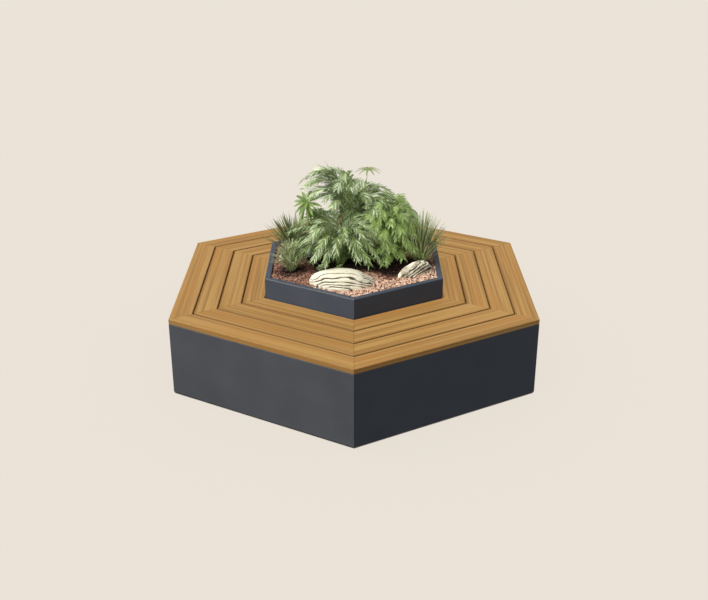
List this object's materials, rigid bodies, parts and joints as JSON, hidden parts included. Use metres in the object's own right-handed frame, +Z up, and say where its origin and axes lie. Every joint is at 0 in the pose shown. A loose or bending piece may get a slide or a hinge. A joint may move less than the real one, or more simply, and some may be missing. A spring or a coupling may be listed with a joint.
{
  "type": "bench with planter",
  "caption": "Six-sided slatted timber bench on a dark folded-steel base, built round a raised planter tub with ferns, grasses and stones.",
  "frame": {"origin": "on the ground under the middle of the bench", "axes": "+Z up; +X out through the middle of one side; +Y and -Y out through two opposite corners, with the corner nearest the viewer at -Y"},
  "size_m": [1.988, 2.2952, 1.1097],
  "materials": {
    "timber": "matte",
    "powder_coated_sheet": "satin",
    "frame_steel": "satin",
    "zinc_plated_steel": "satin",
    "mulch": "matte",
    "pale_stone": "matte",
    "fern_leaf": "satin",
    "palm_leaf": "satin",
    "grass_leaf": "satin"
  },
  "bodies": {
    "bench": {"seat_board_ring1_side1": "timber", "seat_board_ring1_side2": "timber", "seat_board_ring1_side3": "timber", "seat_board_ring1_side4": "timber", "seat_board_ring1_side5": "timber", "seat_board_ring1_side6": "timber", "seat_board_ring2_side1": "timber", "seat_board_ring2_side2": "timber", "seat_board_ring2_side3": "timber", "seat_board_ring2_side4": "timber", "seat_board_ring2_side5": "timber", "seat_board_ring2_side6": "timber", "seat_board_ring3_side1": "timber", "seat_board_ring3_side2": "timber", "seat_board_ring3_side3": "timber", "seat_board_ring3_side4": "timber", "seat_board_ring3_side5": "timber", "seat_board_ring3_side6": "timber", "seat_board_ring4_side1": "timber", "seat_board_ring4_side2": "timber", "seat_board_ring4_side3": "timber", "seat_board_ring4_side4": "timber", "seat_board_ring4_side5": "timber", "seat_board_ring4_side6": "timber", "skirt_panel_1": "powder_coated_sheet", "skirt_panel_2": "powder_coated_sheet", "skirt_panel_3": "powder_coated_sheet", "skirt_panel_4": "powder_coated_sheet", "skirt_panel_5": "powder_coated_sheet", "skirt_panel_6": "powder_coated_sheet", "planter_tub": "powder_coated_sheet", "corner_rib_1": "frame_steel", "corner_rib_2": "frame_steel", "corner_rib_3": "frame_steel", "corner_rib_4": "frame_steel", "corner_rib_5": "frame_steel", "corner_rib_6": "frame_steel", "middle_rib_1": "frame_steel", "middle_rib_2": "frame_steel", "middle_rib_3": "frame_steel", "middle_rib_4": "frame_steel", "middle_rib_5": "frame_steel", "middle_rib_6": "frame_steel", "soil_bed": "mulch", "rock_front": "pale_stone", "rock_right": "pale_stone", "rock_left": "pale_stone", "tall_fern": "fern_leaf", "front_fern": "fern_leaf", "feather_palm": "palm_leaf", "fan_leaf_plant": "palm_leaf", "grass_tuft_left": "grass_leaf", "grass_tuft_right": "grass_leaf", "spiky_tuft": "grass_leaf"},
    "levelling_foot_1": {"levelling_foot_1": "zinc_plated_steel"},
    "levelling_foot_2": {"levelling_foot_2": "zinc_plated_steel"},
    "levelling_foot_3": {"levelling_foot_3": "zinc_plated_steel"},
    "levelling_foot_4": {"levelling_foot_4": "zinc_plated_steel"},
    "levelling_foot_5": {"levelling_foot_5": "zinc_plated_steel"},
    "levelling_foot_6": {"levelling_foot_6": "zinc_plated_steel"}
  },
  "joints": [
    {"name": "levelling_1", "type": "slide", "parent": "bench", "child": "levelling_foot_1", "axis": [0, 0, 1], "range_m": [-0.03, 0]},
    {"name": "levelling_2", "type": "slide", "parent": "bench", "child": "levelling_foot_2", "axis": [0, 0, 1], "range_m": [-0.03, 0]},
    {"name": "levelling_3", "type": "slide", "parent": "bench", "child": "levelling_foot_3", "axis": [0, 0, 1], "range_m": [-0.03, 0]},
    {"name": "levelling_4", "type": "slide", "parent": "bench", "child": "levelling_foot_4", "axis": [0, 0, 1], "range_m": [-0.03, 0]},
    {"name": "levelling_5", "type": "slide", "parent": "bench", "child": "levelling_foot_5", "axis": [0, 0, 1], "range_m": [-0.03, 0]},
    {"name": "levelling_6", "type": "slide", "parent": "bench", "child": "levelling_foot_6", "axis": [0, 0, 1], "range_m": [-0.03, 0]}
  ]
}
